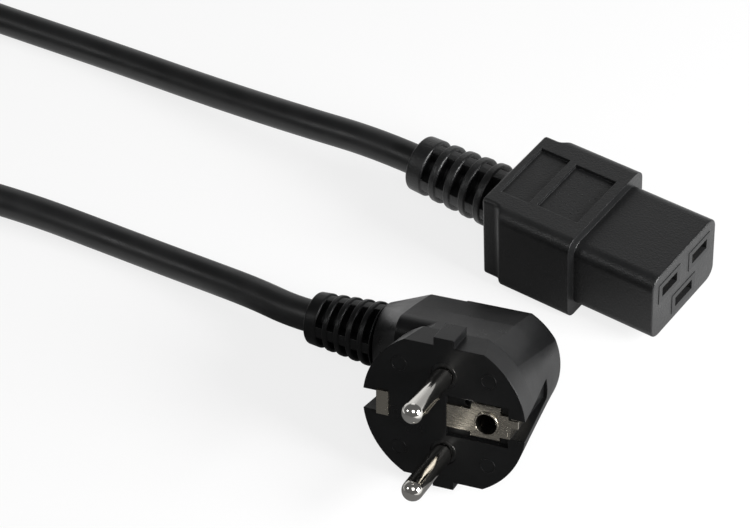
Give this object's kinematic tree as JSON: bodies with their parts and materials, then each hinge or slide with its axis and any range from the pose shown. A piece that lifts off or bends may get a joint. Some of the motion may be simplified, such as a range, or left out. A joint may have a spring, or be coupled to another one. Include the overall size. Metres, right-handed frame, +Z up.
{
  "type": "c19 power cord",
  "caption": "Mains lead: a block-shaped C19 connector with a stepped nose, a round flexible cord wound in a tied coil, and an angled plug for earthed wall sockets.",
  "frame": {"origin": "under the middle of the connector and its boot, on the surface that it rests on", "axes": "+X out of the connector's nose, +Y along its pair of live slots, +Z up, away from the surface"},
  "size_m": [0.2952, 0.1304, 0.0378],
  "materials": {
    "overmould_pvc": "black PVC overmould with a fine spark-eroded grain, semi-matt",
    "plug_pvc": "black PVC overmould, a little smoother and glossier than the connector's",
    "carrier_plastic": "hard black plastic, matt",
    "contact_metal": "nickel-plated brass sheet, satin",
    "pin_nickel": "turned brass with bright nickel plating",
    "earth_nickel": "stamped sheet with satin nickel plating",
    "cord_sheath": "black extruded PVC sheath, soft sheen",
    "core_brown": "brown PVC insulation",
    "core_blue": "blue PVC insulation",
    "core_green_yellow": "green PVC insulation with a yellow stripe",
    "copper_strands": "fine bare copper strands, twisted",
    "tie_strap": "black woven hook-and-loop tape"
  },
  "bodies": {
    "root": {"contact_carrier": "carrier_plastic", "plug_bridge": "carrier_plastic", "line_contact": "contact_metal", "neutral_contact": "contact_metal", "earth_contact": "contact_metal", "connector_overmould": "overmould_pvc", "plug_overmould": "plug_pvc", "connector_sheath": "cord_sheath", "plug_sheath": "cord_sheath", "cord_from_connector": "cord_sheath", "cord_to_plug": "cord_sheath", "cord_coil": "cord_sheath", "earth_strip": "earth_nickel", "earth_plate": "earth_nickel", "earth_socket": "earth_nickel", "line_pin": "pin_nickel", "neutral_pin": "pin_nickel", "coil_tie": "tie_strap", "connector_line_core": "core_brown", "connector_neutral_core": "core_blue", "connector_earth_core": "core_green_yellow", "connector_line_wire": "copper_strands", "connector_neutral_wire": "copper_strands", "connector_earth_wire": "copper_strands", "plug_line_core": "core_brown", "plug_neutral_core": "core_blue", "plug_earth_core": "core_green_yellow", "plug_line_wire": "copper_strands", "plug_neutral_wire": "copper_strands", "plug_earth_wire": "copper_strands"}
  },
  "joints": []
}
